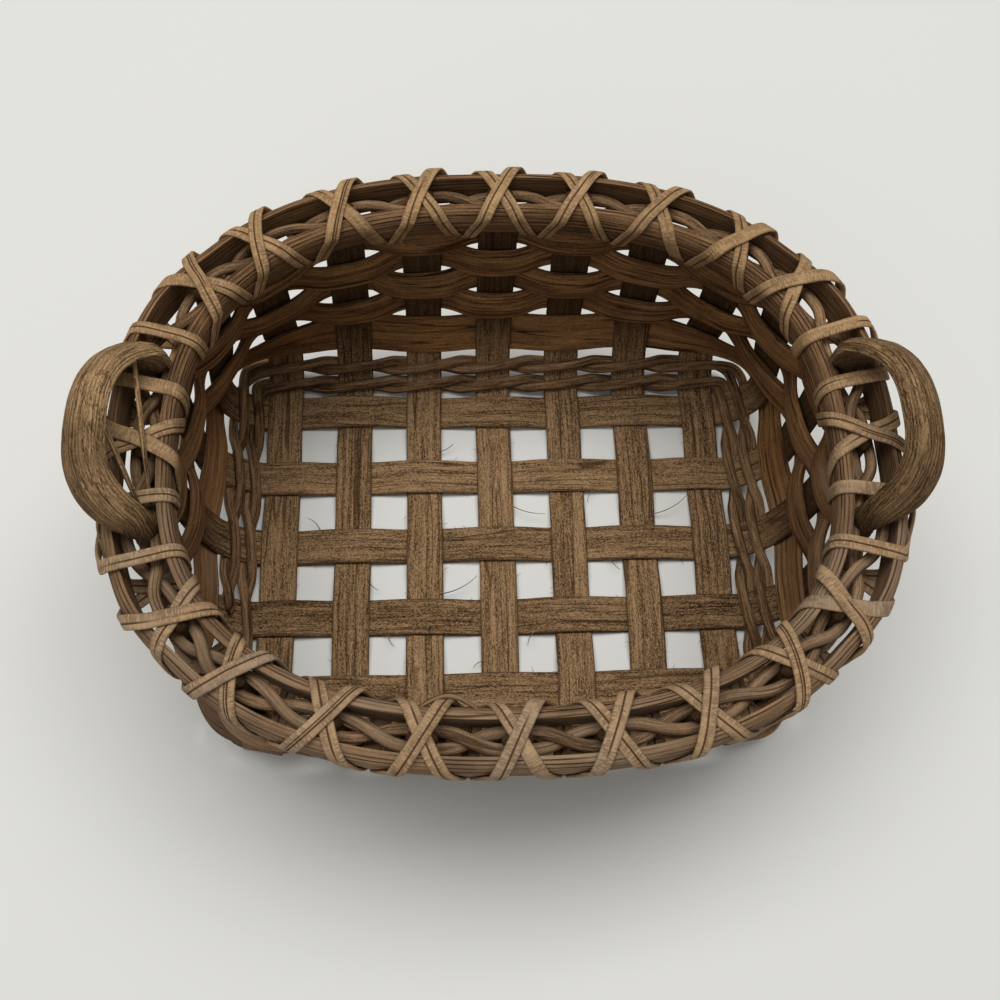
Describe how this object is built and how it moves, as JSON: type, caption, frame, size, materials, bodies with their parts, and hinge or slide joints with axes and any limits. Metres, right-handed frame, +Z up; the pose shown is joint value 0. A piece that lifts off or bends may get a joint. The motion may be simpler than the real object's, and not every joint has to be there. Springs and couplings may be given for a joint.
{
  "type": "gathering basket",
  "caption": "Oval woven gathering basket with an open grid base of flat reed, over-and-under walls, twined base edge, cross-lashed half-round rim and an ear handle at each end.",
  "frame": {"origin": "middle of the base, on the ground", "axes": "+X to the right-hand handle, +Y to the back long side, +Z up"},
  "size_m": [0.2376, 0.185, 0.1094],
  "materials": {
    "stakes": "dry flat reed, stained mid brown",
    "weavers": "dry flat-oval reed, dark brown",
    "rods": "dry round reed, mid brown",
    "hoops": "half-round reed, brown, slightly frayed",
    "lashing": "thin flat cane, pale tan",
    "handles": "bent half-round strip, brown with bark-like grain"
  },
  "bodies": {
    "root": {"cross_stake_1": "stakes", "cross_stake_2": "stakes", "cross_stake_3": "stakes", "cross_stake_4": "stakes", "cross_stake_5": "stakes", "cross_stake_6": "stakes", "cross_stake_7": "stakes", "long_stake_1": "stakes", "long_stake_2": "stakes", "long_stake_3": "stakes", "long_stake_4": "stakes", "long_stake_5": "stakes", "base_twine_rod_1": "rods", "base_twine_rod_2": "rods", "side_weaver_1": "weavers", "side_weaver_2": "weavers", "side_weaver_3": "weavers", "side_weaver_4": "weavers", "side_weaver_5": "weavers", "rim_twine_rod_1": "rods", "rim_twine_rod_2": "rods", "inner_rim_hoop": "hoops", "outer_rim_hoop": "hoops", "rim_lashing_first": "lashing", "rim_lashing_second": "lashing", "right_handle": "handles", "left_handle": "handles"}
  },
  "joints": []
}
